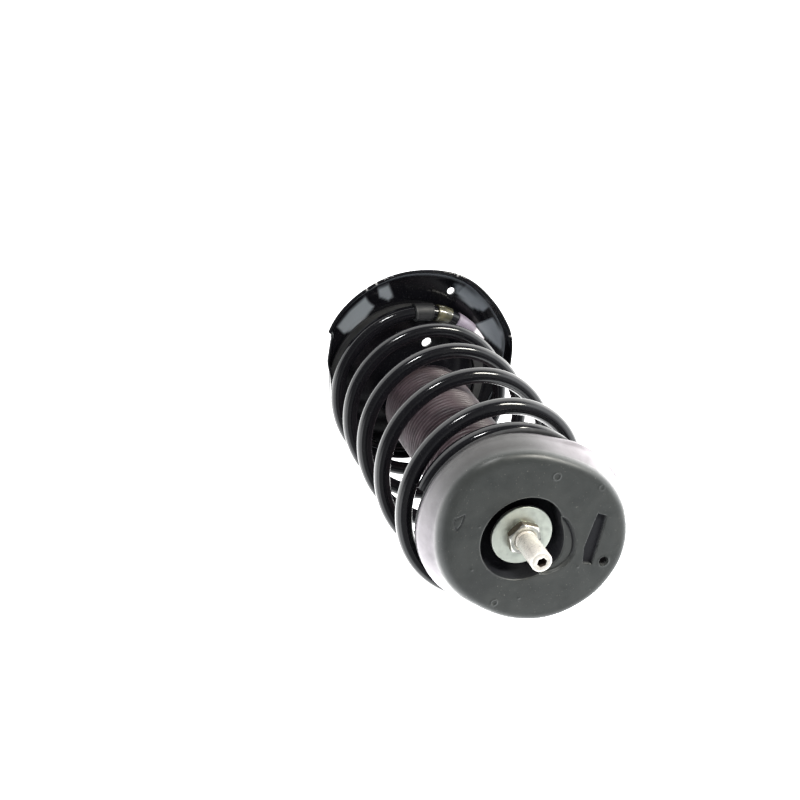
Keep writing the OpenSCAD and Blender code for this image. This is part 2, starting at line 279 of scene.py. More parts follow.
def gloss_paint(name, color, roughness, coat_roughness, peel=0.012):
    """Gloss paint: orange peel, dust in the paint and faint rub marks."""
    s = Shader(name, color, roughness, ior=1.35, coat=0.25, coat_roughness=coat_roughness)
    s.bump(s.noise(420, 2.0), peel)
    s.bump(s.noise(2600, 2.0), 0.002)
    dust = s.ramp(s.noise(1500, 1.0), [(0.0, 0.0), (0.66, 0.0), (0.74, 1.0)])
    s.color(s.mix(dust, color, tuple(min(1.0, c * 3 + 0.01) for c in color)))
    rub = s.noise(90, 4.0, stretch=(1, 1, 3))
    s.rough(s.span(rub, roughness * 0.7, roughness * 1.5, 0.3, 0.7))
    return s.material


def rubber(name, color, roughness, grain=900, depth=0.02, bloom=1.6):
    """Moulded rubber: fine grain with a faint pale bloom in patches."""
    s = Shader(name, color, roughness, ior=1.5)
    s.bump(s.noise(grain, 3.0), depth)
    s.bump(s.noise(grain * 4, 2.0), depth * 0.3)
    patches = s.ramp(s.noise(60, 5.0, distortion=0.4), [(0.35, 0.0), (0.7, 1.0)])
    s.color(s.mix(patches, color, tuple(c * bloom for c in color)))
    s.rough(s.span(s.noise(130, 4.0), roughness * 0.85, min(1.0, roughness * 1.2), 0.3, 0.7))
    return s.material


def metal(name, color, roughness, lines=0.0, stretch=(1, 1, 1), blotch=0.12, scale=300):
    """Bare or plated metal: slight blotches in tone, with fine tool lines if asked."""
    s = Shader(name, color, roughness, metallic=1.0)
    dark = tuple(c * (1 - blotch) for c in color)
    s.color(s.mix(s.span(s.noise(120, 4.0), 0, 1, 0.35, 0.65), color, dark))
    fine = s.noise(scale, 3.0, stretch=stretch)
    s.rough(s.span(fine, roughness * 0.75, roughness * 1.35, 0.3, 0.7))
    if lines:
        s.bump(s.noise(scale * 4, 2.0, stretch=stretch), lines)
    return s.material


# ---------------------------------------------------------------- the spring's line

WIRE_R = 5.8  # 0.1 under the CAD wire, to stay inside its box
TURNS, CLOSE_FROM = 5.35, 4.42
WIRE_Z0, FIRST_PITCH, PITCH_GAIN = 186.5, 35.5, 4.1
COIL_R, COIL_R_BOTTOM, COIL_R_TOP = 67.9, 70.9, 60.0
OFFSET_Y, FOOT, HEAD = 18.0, (-2.3, 15.4), (-1.0, 2.0)


def ease(x):
    t = min(1.0, max(0.0, x))
    return t * t * (3 - 2 * t)


def open_z(u):
    return WIRE_Z0 + FIRST_PITCH * u + PITCH_GAIN / 2 * u * u


def wire_z(u):
    if u < CLOSE_FROM:
        return open_z(u)
    low, high = open_z(CLOSE_FROM), SPRING_TOP_Z - WIRE_R
    s = (u - CLOSE_FROM) / (TURNS - CLOSE_FROM)
    return low + (high - low) * (1 - (1 - s) ** 4)


def wire_point(u):
    """The middle of the wire, u turns from its lower end, as part.scad lays it."""
    s = (wire_z(u) - WIRE_Z0) / (SPRING_TOP_Z - WIRE_Z0)
    x = FOOT[0] + (HEAD[0] - FOOT[0]) * s
    y = (OFFSET_Y - 1) * (1 - s) + HEAD[1] * s + (FOOT[1] - OFFSET_Y + 1) * (1 - ease(u))
    r = COIL_R_BOTTOM + (COIL_R - COIL_R_BOTTOM) * ease(u / 0.6)
    r += (COIL_R_TOP - COIL_R) * ease((u - CLOSE_FROM) / 0.6)
    a = 2 * math.pi * u
    return np.array([x + r * math.cos(a), y + r * math.sin(a), wire_z(u)])


def wire_tangent(u):
    t = wire_point(u + 0.001) - wire_point(u - 0.001)
    return t / np.linalg.norm(t)


def circle_loop(radius, sides):
    a = even_angles(sides)
    return np.stack([radius * np.cos(a), radius * np.sin(a)], 1)


def wire_sweep(turns, loops):
    return sweep([wire_point(u) for u in turns], [wire_tangent(u) for u in turns], loops)


def squash_with_spring(obj):
    """Gives the piece a mesh of its own."""
    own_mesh(obj)


def build_spring():
    sides = 32
    chamfer = 1.0 / (2 * math.pi * 71)
    turns = [0.0] + list(np.linspace(chamfer, TURNS - chamfer, 640)) + [TURNS]
    last = len(turns) - 1
    radii = [WIRE_R if 0 < i < last else WIRE_R - 0.9 for i in range(len(turns))]
    loops = [circle_loop(radius, sides) for radius in radii]
    verts, faces = wire_sweep(turns, loops)
    # painted highlight: the first 14 mm of wire at its foot are painted pale pink-white
    mark = np.repeat([1.0 if u < 0.031 else 0.0 for u in turns], sides)
    paint = Shader("spring_gloss", (0.004, 0.004, 0.0055), 0.11, ior=1.45)
    paint.bump(paint.noise(420, 2.0), 0.008)
    paint.bump(paint.noise(2600, 2.0), 0.0015)
    dust = paint.ramp(paint.noise(1500, 1.0), [(0.0, 0.0), (0.68, 0.0), (0.75, 1.0)])
    tone = paint.mix(dust, (0.005, 0.005, 0.0065), (0.03, 0.03, 0.03))
    paint.color(paint.mix(paint.attribute("mark"), tone, (0.80, 0.74, 0.80)))
    paint.rough(paint.span(paint.noise(90, 4.0), 0.07, 0.15, 0.3, 0.7))
    obj = make_piece(
        "coil_spring_wire", verts, faces, paint.material, DAMPER, ["coil_spring"],
        sharp=30, masks={"mark": mark},
    )
    squash_with_spring(obj)


def sleeve_section(inner, outer, slit_deg, sides=40):
    """Section of a split tube: open by a narrow slit at its foot."""
    half = math.radians(slit_deg) / 2
    a = np.linspace(-math.pi / 2 + half, 1.5 * math.pi - half, sides)
    out = np.stack([outer * np.cos(a), outer * np.sin(a)], 1)
    inn = np.stack([inner * np.cos(a[::-1]), inner * np.sin(a[::-1])], 1)
    return np.concatenate([out, inn])


def build_sleeve(name, node, u0, u1, wall, lip, material, crown=0.0, rings=36):
    """Rubber sleeve round the wire. lip is the raised bead at both ends, crown a swell between."""
    turns = np.linspace(u0, u1, rings)
    loops = []
    for u in turns:
        s = (u - u0) / (u1 - u0)
        near = min(s, 1 - s)
        bead = lip * math.exp(-((near - 0.045) / 0.03) ** 2)
        edge = -0.45 * wall * max(0.0, 1 - near / 0.02)
        outer = WIRE_R + wall + bead + edge + crown * math.sin(math.pi * s)
        loops.append(sleeve_section(WIRE_R + 0.05, outer, 9))
    verts, faces = wire_sweep(turns, loops)
    obj = make_piece(name, verts, faces, material, DAMPER, [node], sharp=40)
    squash_with_spring(obj)


def build_sleeves():
    matt = rubber("sleeve_matt", (0.008, 0.008, 0.009), 0.55, grain=1400, depth=0.01, bloom=1.4)
    worn = Shader("sleeve_worn", (0.07, 0.062, 0.035), 0.22, ior=1.5, coat=0.7, coat_roughness=0.12)
    streak = worn.ramp(
        worn.noise(70, 3.0, stretch=(1, 1, 6)),
        [(0.3, (0.015, 0.016, 0.015)), (0.55, (0.06, 0.056, 0.032)), (0.72, (0.15, 0.135, 0.075))],
    )
    worn.color(streak)
    worn.bump(worn.noise(900, 2.0), 0.02)
    pale = rubber("sleeve_pale", (0.17, 0.145, 0.18), 0.3, grain=900, depth=0.01, bloom=1.6)
    build_sleeve("spring_sleeve_long", "coil_sleeve_long", 0.1285, 0.165, 1.6, 0.3, matt)
    build_sleeve(
        "spring_sleeve_short", "coil_sleeve_short", 0.090, 0.1195, 1.3, 0.2, worn.material,
        crown=0.2,
    )
    build_sleeve("spring_sleeve_end", "coil_sleeve_end", 0.034, 0.074, 0.9, 0.1, pale)


# ---------------------------------------------------------------- dust bellows

FOLDS, FOOT_R, TAPER, FOLD_DEPTH, BELLOWS_T = 42, 36.2, 4.0, 3.0, 1.4


def build_bellows():
    z0, z1 = BELLOWS_Z
    per_fold = 12
    count = FOLDS * per_fold
    outer = []
    for i in range(count + 1):
        s = i / count
        wave = 0.5 - 0.5 * math.cos(2 * math.pi * i / per_fold)
        mid = FOOT_R - TAPER * s
        outer.append((mid - 2.0 + FOLD_DEPTH * wave ** 0.75, z0 + (z1 - z0) * s))
    inner = [(r - BELLOWS_T, z) for r, z in outer[::-1][::3]]
    verts, faces = lathe(outer + inner, 120)
    s = Shader("bellows_rubber", (0.022, 0.016, 0.017), 0.38, ior=1.42)
    dusty = s.ramp(
        s.noise(55, 4.0),
        [(0.3, (0.030, 0.020, 0.024)), (0.55, (0.055, 0.037, 0.043)), (0.8, (0.10, 0.072, 0.082))],
    )
    s.color(dusty)
    s.bump(s.noise(700, 3.0), 0.03)
    s.rough(s.span(s.noise(140, 3.0), 0.28, 0.46, 0.3, 0.7))
    obj = make_piece(
        "dust_bellows_folds", verts, faces, s.material, DAMPER, ["dust_bellows"],
        sharp=60,
    )
    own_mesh(obj)


# ---------------------------------------------------------------- lower spring pan

PAN_MID = np.array([2.0, 22.0])
SEAT_MID, SEAT_FLOOR_R, FLARE_FLOOR_R = np.array([-2.0, 19.0]), 66.0, 73.0
TUBE_R = 25.0
FLARE_RIM = {  # outer radius of the wide rim by angle about PAN_MID
    -104: 76.0, -80: 80.0, -60: 83.5, -40: 88.0, -25: 91.0, -13.4: 95.2, -7.7: 96.3, 0: 96.3,
    15.2: 97.6, 26.4: 99.5, 36.5: 100.0, 52: 98.4, 66: 97.2, 72: 96.6, 84: 94.8, 94: 93.4,
    104: 91.8, 110: 90.4, 114.6: 89.0,
}
TORN_EDGE = [  # (x, y, height) where the sheet's edge runs on past the torn corner
    (-34.6, 99.0, 188.0), (-36.4, 94.8, 187.0), (-45.0, 84.8, 186.6), (-49.6, 80.2, 186.6),
    (-51.4, 76.6, 186.8), (-53.8, 70.0, 187.6), (-56.6, 63.0, 189.0),
]
SEAT_RIM_R = 70.5
NICKS = (84.5, 78.9, 36.4, -10.4)
CREASE_DEG, CREASE_MID_DEG = 30.0, 2.0
FLARE_SLOPE, RIM_BEAD, FLOOR_ROWS = 0.27, 1.3, 5
PAN_HOLES = (((71, 68), 3.2, 0.0), ((30.5, 38.5), 3.4, 1.0))  # middle, radius, half the oval's run
REFLECTION_PATCHES = (  # painted reflection: grey patches on the flare, as (x, y) outlines
    (
        (-26.7, 98.4), (-10.6, 104.0), (7.3, 107.1), (7.4, 100.7), (9.4, 94.0), (-12.3, 84.8),
        (-25.2, 88.4),
    ),
    ((19.3, 107.1), (29.1, 104.9), (27.3, 92.3), (21.8, 91.5), (16.7, 99.4)),
    (
        (75.7, 72.6), (83.9, 65.2), (92.2, 44.7), (93.2, 36.8), (86.1, 35.3), (78.1, 45.4),
        (73.9, 63.1),
    ),
    ((74.1, 27.8), (90.5, 26.1), (91.0, 20.2), (91.9, 8.1), (83.1, -8.6), (76.7, 13.4)),
)


def polar(point):
    d = np.asarray(point[:2], float) - PAN_MID
    return math.degrees(math.atan2(d[1], d[0])), float(np.hypot(*d))


def pan_outline(steps):
    """Angles in degrees about PAN_MID, with the rim's radius and height and the floor's radius."""
    table = [(a, r, PAN_RIM_Z) for a, r in FLARE_RIM.items()]
    table += [(*polar(p), p[2]) for p in TORN_EDGE]
    for a in range(142, 256, 6):
        p = SEAT_MID + SEAT_RIM_R * np.array([math.cos(math.radians(a)), math.sin(math.radians(a))])
        angle, radius = polar(p)
        table.append((angle, radius, 190.0 if a < 145 else PAN_RIM_Z))
    table = sorted((a % 360, r, z) for a, r, z in table)
    keys = np.array([row[0] for row in table])
    keys = np.concatenate([keys - 360, keys, keys + 360])
    at = np.linspace(0, 360, steps, endpoint=False)
    radius = np.interp(at, keys, np.tile([row[1] for row in table], 3))
    height = np.interp(at, keys, np.tile([row[2] for row in table], 3))
    # ease the corners between table rows, but keep the torn corner sharp
    for _ in range(30):
        mean = (np.roll(radius, 1) + radius + np.roll(radius, -1)) / 3
        keep = (at > 112) & (at < 118)
        radius = np.where(keep, radius, mean)
    a = np.radians(at)
    seat_side = smooth_step(at, 112, 140) * (1 - smooth_step(at, 240, 262))
    floor_r = FLARE_FLOOR_R + (SEAT_FLOOR_R - FLARE_FLOOR_R) * seat_side
    d = np.stack([np.cos(a), np.sin(a)], 1)
    w = PAN_MID - SEAT_MID
    along = d @ w
    floor = -along + np.sqrt(along**2 - (w @ w - floor_r**2))
    return at, radius, height, floor


def build_pan():
    steps = 720
    at, rim, top, floor = pan_outline(steps)
    angles = np.radians(at)
    from_crease = apart(at, CREASE_MID_DEG)
    raised = 0.9 * (1 - smooth_step(from_crease, CREASE_DEG - 3.2, CREASE_DEG - 2))
    rows, nick = [], []

    def add(radius, z, mark=None):
        rows.append(ring_row(radius, angles, z, PAN_MID))
        nick.append(np.zeros(steps) if mark is None else mark)

    def add_floor(share, z):
        inner = ring_row(TUBE_R, angles, z)
        rows.append((1 - share) * inner + share * ring_row(floor - 3, angles, z, PAN_MID))
        nick.append(np.zeros(steps))

    width = rim - floor
    turn_in = np.minimum(5.2, 0.34 * width)
    e = np.minimum(1.5, 0.15 * width)
    start_r, start_z = floor + e, PAN_FLOOR_Z + 0.8
    end_r = rim - turn_in
    end_z = np.minimum(start_z + FLARE_SLOPE * (end_r - start_r) + raised * 0.5, top - 4.2)
    lip_r, lip_z = rim - 2.4, top - 1.8
    upper = [
        (floor - 1.6, PAN_FLOOR_Z + 0.08), (floor - 0.2, PAN_FLOOR_Z + 0.35), (start_r, start_z),
    ]
    for share in (0.1, 0.2, 0.3, 0.4, 0.5, 0.6, 0.7, 0.8, 0.92):
        lift = raised * math.sin(math.pi * share) ** 0.5 * 0.8
        z = start_z + (end_z - start_z) * share + lift
        upper.append((start_r + (end_r - start_r) * share, z))
    upper.append((end_r + 0.25, end_z + 0.35))
    for share in (0.2, 0.5, 0.8):
        rise = 0.75 * share + 0.25 * share**2
        upper.append((end_r + (lip_r - end_r) * share, end_z + (lip_z - end_z) * rise))
    for share in (0.0, 0.25, 0.5, 0.75, 1.0):
        add_floor(share, PAN_FLOOR_Z)
    for r, z in upper:
        add(r, z)
    chips = sum(np.exp(-(apart(at, n) / 0.35) ** 2) for n in NICKS)
    bead = RIM_BEAD - 0.35 * chips
    for k in range(10):
        angle = math.pi * (1.05 - k / 9 * 1.2)
        add(rim - RIM_BEAD + bead * math.cos(angle), top - RIM_BEAD + bead * math.sin(angle), chips)
    under = [(r + (0.9 if i > 3 else 0.2), z - PAN_T) for i, (r, z) in enumerate(upper)]
    for r, z in under[::-1]:
        add(np.minimum(r, rim - 0.5), z)
    for share in (1.0, 0.75, 0.5, 0.25, 0.0):
        add_floor(share, PAN_FLOOR_Z - PAN_T)
    verts = np.concatenate(rows)
    painted_reflection = np.zeros(len(verts))
    for patch in REFLECTION_PATCHES:
        inside = 1 - smooth_step(polygon_distance(verts[:, 0], verts[:, 1], patch), -2.0, 1.0)
        painted_reflection = np.maximum(painted_reflection, inside)
    first_under = (FLOOR_ROWS + len(upper)) * steps
    painted_reflection[first_under:] = 0
    # painted highlight: a light line where the rim turns up
    fold = slice(first_under - 4 * steps, first_under - 3 * steps)
    painted_reflection[fold] = np.maximum(painted_reflection[fold], 0.6)
    faces = [f[::-1] for f in grid_faces(len(rows), steps, close_rows=True)]
    paint = Shader("pan_gloss", (0.006, 0.006, 0.007), 0.08, ior=1.42)
    paint.bump(paint.noise(60, 2.0), 0.03)
    paint.bump(paint.noise(600, 2.0), 0.003)
    paint.rough(paint.span(paint.noise(60, 4.0), 0.06, 0.15, 0.3, 0.7))
    specks = paint.ramp(paint.noise(1300, 1.0), [(0.0, 0.0), (0.70, 0.0), (0.76, 1.0)])
    tone = paint.mix(specks, (0.005, 0.005, 0.0065), (0.05, 0.05, 0.05))
    # painted reflection: the patches and the rim's line are painted pale grey in the base colour
    tone = paint.mix(paint.attribute("painted_reflection"), tone, (0.24, 0.26, 0.285))
    paint.color(paint.mix(paint.attribute("chip"), tone, (0.55, 0.54, 0.53)))
    obj = make_piece(
        "spring_pan_dish", verts, faces, paint.material, DAMPER,
        ["lower_spring_pan"], sharp=40,
        masks={"chip": np.clip(np.concatenate(nick), 0, 1), "painted_reflection": painted_reflection},
    )
    cut_holes(obj, PAN_HOLES)


def cut_holes(obj, holes):
    """Round or oval drain holes through a pressed sheet."""
    for (x, y), radius, half in holes:
        profile = []
        n = 48
        for k in range(n):
            a = 2 * math.pi * k / n
            shift = half if math.cos(a) > 0 else -half
            profile.append((x + radius * math.cos(a) + shift, y + radius * math.sin(a)))
        verts = [(px, py, z) for z in (PAN_FLOOR_Z - 10, PAN_FLOOR_Z + 30) for px, py in profile]
        faces = [tuple(range(n))[::-1], tuple(range(n, 2 * n))] + grid_faces(2, n)
        mesh = bpy.data.meshes.new("cutter")
        mesh.from_pydata((np.array(verts) * MM).tolist(), [], faces)
        cutter = bpy.data.objects.new("cutter", mesh)
        bpy.context.scene.collection.objects.link(cutter)
        apply_boolean(obj, cutter)
        bpy.data.objects.remove(cutter)


def apply_boolean(obj, cutter):
    mod = obj.modifiers.new("cut", "BOOLEAN")
    mod.operation = "DIFFERENCE"
    mod.solver = "EXACT"
    mod.object = cutter
    bpy.context.view_layer.update()
    done = bpy.data.meshes.new_from_object(obj.evaluated_get(bpy.context.evaluated_depsgraph_get()))
    obj.modifiers.remove(mod)
    obj.data = done
    done.polygons.foreach_set("use_smooth", [True] * len(done.polygons))
    done.set_sharp_from_angle(angle=math.radians(40))


# ---------------------------------------------------------------- top mount

# Radii by angle about the rod: the face's outer edge, the side's foot, the well, the ledge by it
EDGE_TABLE = {
    0: 67.3, 14: 63.2, 27: 60.6, 39: 60.2, 52: 61.6, 61: 62.5, 78: 66, 91: 67, 102: 67, 112: 65.5,
    123: 63.5, 140: 60.5, 160: 59, 180: 58.5, 200: 58, 211: 58.5, 222: 60.9, 234: 64.3, 245: 67.9,
    255: 71.4, 264: 74, 274: 76.1, 284: 78.5, 294: 79, 302: 79.6, 312: 78.8, 322: 77, 330: 74.8,
    336: 73.6, 343: 71.7, 351: 69.3,
}
BACK_TABLE = {
    0: 74.5, 11: 71.3, 22: 67.2, 33: 64.6, 44: 64.2, 60: 65.8, 80: 67.9, 100: 68.2, 120: 67.9,
    134: 67.1, 150: 67.4, 180: 66.5, 195: 66, 210: 65.5, 225: 66, 240: 68, 255: 71, 270: 74.5,
    285: 78, 300: 81, 315: 82.5, 330: 82.5, 339: 81, 349: 77,
}
WELL_TABLE = {
    0: 28.6, 14: 29.3, 30: 30, 60: 30.5, 120: 30.5, 180: 30.5, 240: 30.5, 270: 31, 285: 32,
    295: 32, 310: 30, 325: 28.3, 340: 27, 350: 26.8,
}
LEDGE_TABLE = {
    0: 27, 30: 27, 180: 27, 240: 27, 262: 31, 270: 34.5, 283: 38, 293: 39.6, 303: 40, 314: 38,
    326: 35.2, 337: 32.8, 348: 31, 356: 28.6,
}
# Marks moulded in the face, as (x, y), with a size and a depth for the rings
POCKET = [
    (49.6, -16.2), (53.5, -21.5), (47.9, -28.4), (38.2, -38.9), (28.7, -48.9), (24.0, -43.8),
    (30.2, -33.6), (38.0, -26.4), (44.8, -20.2),
]
MOULD_HOLE = (36.5, -52.5)
MOULD_RINGS = ((38.6, 27.9, 2.6, 0.3), (-40.1, -29.2, 2.2, 0.35), (60.0, 0.5, 2.0, 0.2))
MOULD_PIPS = ((-39.6, 3.7), (-19.9, 29.0), (19.7, -44.0), (-24.9, -38.0))
INDEX_MARK = [(-23.5, 42.5), (-31.0, 43.6), (-33.3, 36.3), (-29.3, 37.6)]


def polygon_distance(x, y, corners):
    """Signed distance to a polygon, negative inside."""
    pts = np.asarray(corners, float)
    best = np.full(x.shape, 1e9)
    inside = np.zeros(x.shape, bool)
    for i in range(len(pts)):
        a, b = pts[i], pts[(i + 1) % len(pts)]
        e = b - a
        t = np.clip(((x - a[0]) * e[0] + (y - a[1]) * e[1]) / (e @ e), 0, 1)
        best = np.minimum(best, np.hypot(x - a[0] - t * e[0], y - a[1] - t * e[1]))
        cut = (b[0] - a[0]) * (y - a[1]) / (b[1] - a[1] + 1e-12) + a[0]
        inside ^= ((a[1] > y) != (b[1] > y)) & (x < cut)
    return np.where(inside, -best, best)


LEDGE_DEPTH, WELL_FLOOR_Z = 1.7, 407.0


def face_relief(x, y, ledge):
    """Height of the mount's moulded top face over its flat, and how dull each spot is and how much
    painted shade it takes.
    """
    r = np.hypot(x, y)
    h = -LEDGE_DEPTH * (1 - smooth_step(r, ledge - 0.5, ledge + 0.5))
    h -= 0.7 * np.exp(-((r - ledge + 1.2) / 0.8) ** 2) * (ledge > 0)
    pocket = polygon_distance(x, y, POCKET)
    in_pocket = 1 - smooth_step(pocket, -0.4, 0.4)
    h -= 2.2 * in_pocket
    hole = np.hypot(x - MOULD_HOLE[0], y - MOULD_HOLE[1])
    h -= 8.0 * (1 - smooth_step(hole, 2.7, 3.4))
    h += 0.25 * np.exp(-((hole - 4.0) / 0.5) ** 2)
    for cx, cy, size, depth in MOULD_RINGS:
        d = np.hypot(x - cx, y - cy)
        h += depth * np.exp(-((d - size) / 0.45) ** 2)
        h -= 0.5 * depth * (1 - smooth_step(d, size - 1, size))
    for cx, cy in MOULD_PIPS:
        h += 0.3 * np.exp(-((np.hypot(x - cx, y - cy)) / 0.8) ** 2)
    index = polygon_distance(x, y, INDEX_MARK)
    h -= 0.6 * np.exp(-(index / 0.5) ** 2)
    # painted shadow: a dark arc along the ledge's outer step
    step_shadow = np.exp(-((r - ledge + 1.2) / 1.1) ** 2) * (ledge > 0) * smooth_step(x, 15, 25)
    dull_shade = np.maximum(in_pocket, 0.75 * step_shadow)
    dull_shade = np.maximum(dull_shade, 0.6 * np.exp(-(index / 0.5) ** 2))
    h += 0.10 * np.sin(0.11 * x + 1.3) * np.cos(0.09 * y + 0.4)
    return h, dull_shade


# Circles that the backing plate's outline wraps, as (x, y, radius)
PLATE_LOBES = ((-1.5, 2.5, 62.5), (12.0, -12.5, 62.5), (19.0, -16.5, 56.5))
SKIRT_FOOT_Z, PLATE_FOOT_Z = 399.4, 399.1


def hull_radius(lobes, theta):
    """Distance from the axis to the outline that wraps a row of circles, at each angle."""
    d = np.stack([np.cos(theta), np.sin(theta)], 1)
    best = np.zeros(len(theta))
    for i, first in enumerate(lobes):
        for second in lobes[i + 1:]:
            for share in np.linspace(0, 1, 41):
                x, y, r = np.array(first) * (1 - share) + np.array(second) * share
                along = d @ np.array([x, y])
                best = np.maximum(best, along + np.sqrt(along**2 + r * r - x * x - y * y))
    return best


def build_backing_plate(material):
    """Steel ring bonded under the rubber, its rim held in the rubber's skirt."""
    steps = 360
    theta = even_angles(steps)
    outer, inner = hull_radius(PLATE_LOBES, theta), 48.4
    section = [
        (inner, PLATE_FOOT_Z + 0.3), (inner + 0.4, PLATE_FOOT_Z), (outer - 0.5, PLATE_FOOT_Z),
        (outer, PLATE_FOOT_Z + 0.5), (outer, PLATE_TOP_Z - 0.3), (outer - 0.3, PLATE_TOP_Z),
        (inner, PLATE_TOP_Z),
    ]
    rows = [ring_row(r, theta, z) for r, z in section]
    faces = grid_faces(len(rows), steps, close_rows=True)
    make_piece(
        "mount_plate_ring", np.concatenate(rows), faces, material, MOUNT,
        ["mount_backing_plate"], sharp=35,
    )


def build_mount_rubber():
    steps = 720
    theta = even_angles(steps)
    deg = np.degrees(theta)
    edge = polar_outline(EDGE_TABLE, steps)
    back = polar_outline(BACK_TABLE, steps)
    well = polar_outline(WELL_TABLE, steps)
    ledge = polar_outline(LEDGE_TABLE, steps, 2.5)
    cos, sin = np.cos(theta), np.sin(theta)
    # the face's shoulder is widest round 140 degrees and crisper elsewhere
    soft = 0.62 + 0.38 * np.exp(-(apart(deg, 140) / 50) ** 2)
    rows, dull_shade = [], []

    def add(radius, height, shade_amount=0.0):
        rows.append(ring_row(radius, theta, height))
        dull_shade.append(np.broadcast_to(shade_amount, steps))

    bore_r, floor_z = 12.1, WELL_FLOOR_Z
    ledge_depth = LEDGE_DEPTH * smooth_step(ledge - well, 0.0, 1.5)
    top_at_well = FACE_Z - ledge_depth
    # painted shade: the well's walls and floor are painted near black
    add(bore_r, PLATE_TOP_Z + 0.3, 1)
    add(bore_r, floor_z - 0.6, 1)
    add(bore_r + 0.6, floor_z, 1)
    add(20, floor_z, 1)
    add(well - 2.0, floor_z, 1)
    add(well - 0.6, floor_z + 0.4, 1)
    add(well, floor_z + 1.6, 1)
    for share in (0.25, 0.5, 0.75):
        add(well, floor_z + 1.6 + share * (top_at_well - 1.2 - floor_z - 1.6), 1)
    add(well + 0.03, top_at_well - 1.0, 0.9)
    add(well + 0.3, top_at_well - 0.4)
    add(well + 0.75, top_at_well - 0.08)
    start = well + 1.0
    inset = 13 * soft
    plateau_end = edge - inset
    count = 96
    for i in range(count + 1):
        r = start + (plateau_end - start) * i / count
        h, relief_shade = face_relief(r * cos, r * sin, np.where(ledge > well + 0.5, ledge, 0))
        if i == 0:
            h = -ledge_depth
        add(r, FACE_Z + h, relief_shade)
    shoulder = [
        (12.2, 0.0), (10.6, 0.03), (9.2, 0.12), (8.0, 0.27), (6.9, 0.5), (5.9, 0.82), (4.9, 1.25),
        (4.0, 1.75), (3.15, 2.35), (2.4, 3.0), (1.75, 3.75), (1.2, 4.6), (0.75, 5.5), (0.4, 6.5),
        (0.15, 7.6),
    ]
    drop_scale = 0.7 + 0.3 * soft
    for inset_mm, drop in shoulder:
        r = edge - inset_mm * soft
        h, relief_shade = face_relief(r * cos, r * sin, np.zeros(steps))
        fade = smooth_step(inset_mm, 3, 9)
        add(r, FACE_Z - drop * drop_scale + h * fade, relief_shade * fade)
    low_edge = FACE_Z - 8.2 * drop_scale
    flank_foot = 404.2
    for share in (0.0, 0.2, 0.4, 0.6, 0.8, 0.95):
        bulge = 0.5 * math.sin(math.pi * share)
        add(edge + (back - 0.8 - edge) * share + bulge, low_edge + (flank_foot - low_edge) * share)
    # the rubber's skirt wraps the rim of the backing plate
    plate = hull_radius(PLATE_LOBES, theta)
    skirt = np.maximum(back - 0.6, plate + 1.0)
    add(skirt, flank_foot - 0.6)
    add(skirt, SKIRT_FOOT_Z + 0.7)
    add(skirt - 0.3, SKIRT_FOOT_Z + 0.1)
    add(plate + 0.5, SKIRT_FOOT_Z)
    # painted shade: the underside round the plate's rim and the bearing groove are painted near
    # black
    add(plate + 0.12, SKIRT_FOOT_Z + 0.2, 1)
    add(plate + 0.12, PLATE_TOP_Z + 0.1, 1)
    groove_foot, groove_top = PLATE_TOP_Z + 0.1, 409.2
    add(54.5, groove_foot, 1)
    for r, z in ((48.4, groove_foot), (47.7, groove_top), (36.3, groove_top), (35.6, groove_foot)):
        add(r, z, 1)
    verts = np.concatenate(rows)
    faces = [f[::-1] for f in grid_faces(len(rows), steps, close_rows=True)]
    make_piece(
        "mount_rubber_body", verts, faces, mount_material(), MOUNT,
        ["mount_rubber"], sharp=50, masks={"dull_shade": np.concatenate(dull_shade), **flank_masks(verts)},
    )


def flank_masks(points):
    """Where painted reflection lightens the mount's side, and where painted shade darkens it."""
    low = 1 - smooth_step(points[:, 2], 415.0, 421.0)
    outer = smooth_step(np.hypot(points[:, 0], points[:, 1]), 50, 56)
    turn = np.degrees(np.arctan2(points[:, 1], points[:, 0]))
    facing = 1 - np.exp(-(apart(turn, 82) / 60) ** 2)
    return {"flank_reflection": low * outer * facing, "shade": low * outer * (1 - facing) ** 3}


def mount_material():
    s = Shader("mount_moulded_rubber", (0.04, 0.042, 0.042), 0.38, ior=1.5)
    fine = s.noise(1100, 3.0)
    broad = s.noise(45, 5.0, distortion=0.6)
    s.bump(s.noise(130, 4.0), 0.05)
    s.bump(fine, 0.02)
    s.bump(s.noise(4200, 2.0), 0.006)
    patch = s.ramp(broad, [(0.3, 0.0), (0.72, 1.0)])
    tone = s.mix(patch, (0.026, 0.029, 0.028), (0.042, 0.045, 0.043))
    specks = s.ramp(s.noise(900, 1.0), [(0.0, 0.0), (0.72, 0.0), (0.78, 1.0)])
    tone = s.mix(specks, tone, (0.12, 0.12, 0.11))
    patches = s.span(s.noise(70, 4.0), 0, 1, 0.3, 0.7)
    # painted reflection: the side is lightened to a pale pink bloom that stands in for the bright
    # floor's reflection
    bloom = s.mix(patches, (0.21, 0.185, 0.207), (0.36, 0.325, 0.36))
    tone = s.mix(s.attribute("flank_reflection"), tone, bloom)
    # painted shade: the side facing about 82 degrees is darkened
    tone = s.mix(s.attribute("shade"), tone, (0.010, 0.008, 0.008))
    # painted shade: the well, the pocket, the index mark, the ledge's step and the underside go
    # near black and rough
    tone = s.mix(s.attribute("dull_shade"), tone, (0.004, 0.0045, 0.008))
    s.color(tone)
    rough = s.span(s.noise(160, 4.0), 0.33, 0.45, 0.3, 0.7)
    s.rough(s.mix(s.attribute("dull_shade"), rough, (0.9, 0.9, 0.9)))
    return s.material


# ---------------------------------------------------------------- washer, nut and rod

NUT_AF, NUT_H, NUT_TURN = 21.0, 6.0, 10.0
THREAD_R, ROD_R = 7.0, 10.0
CORE_Z = 401.0  # foot of the mount's steel core, on the rod's shoulder


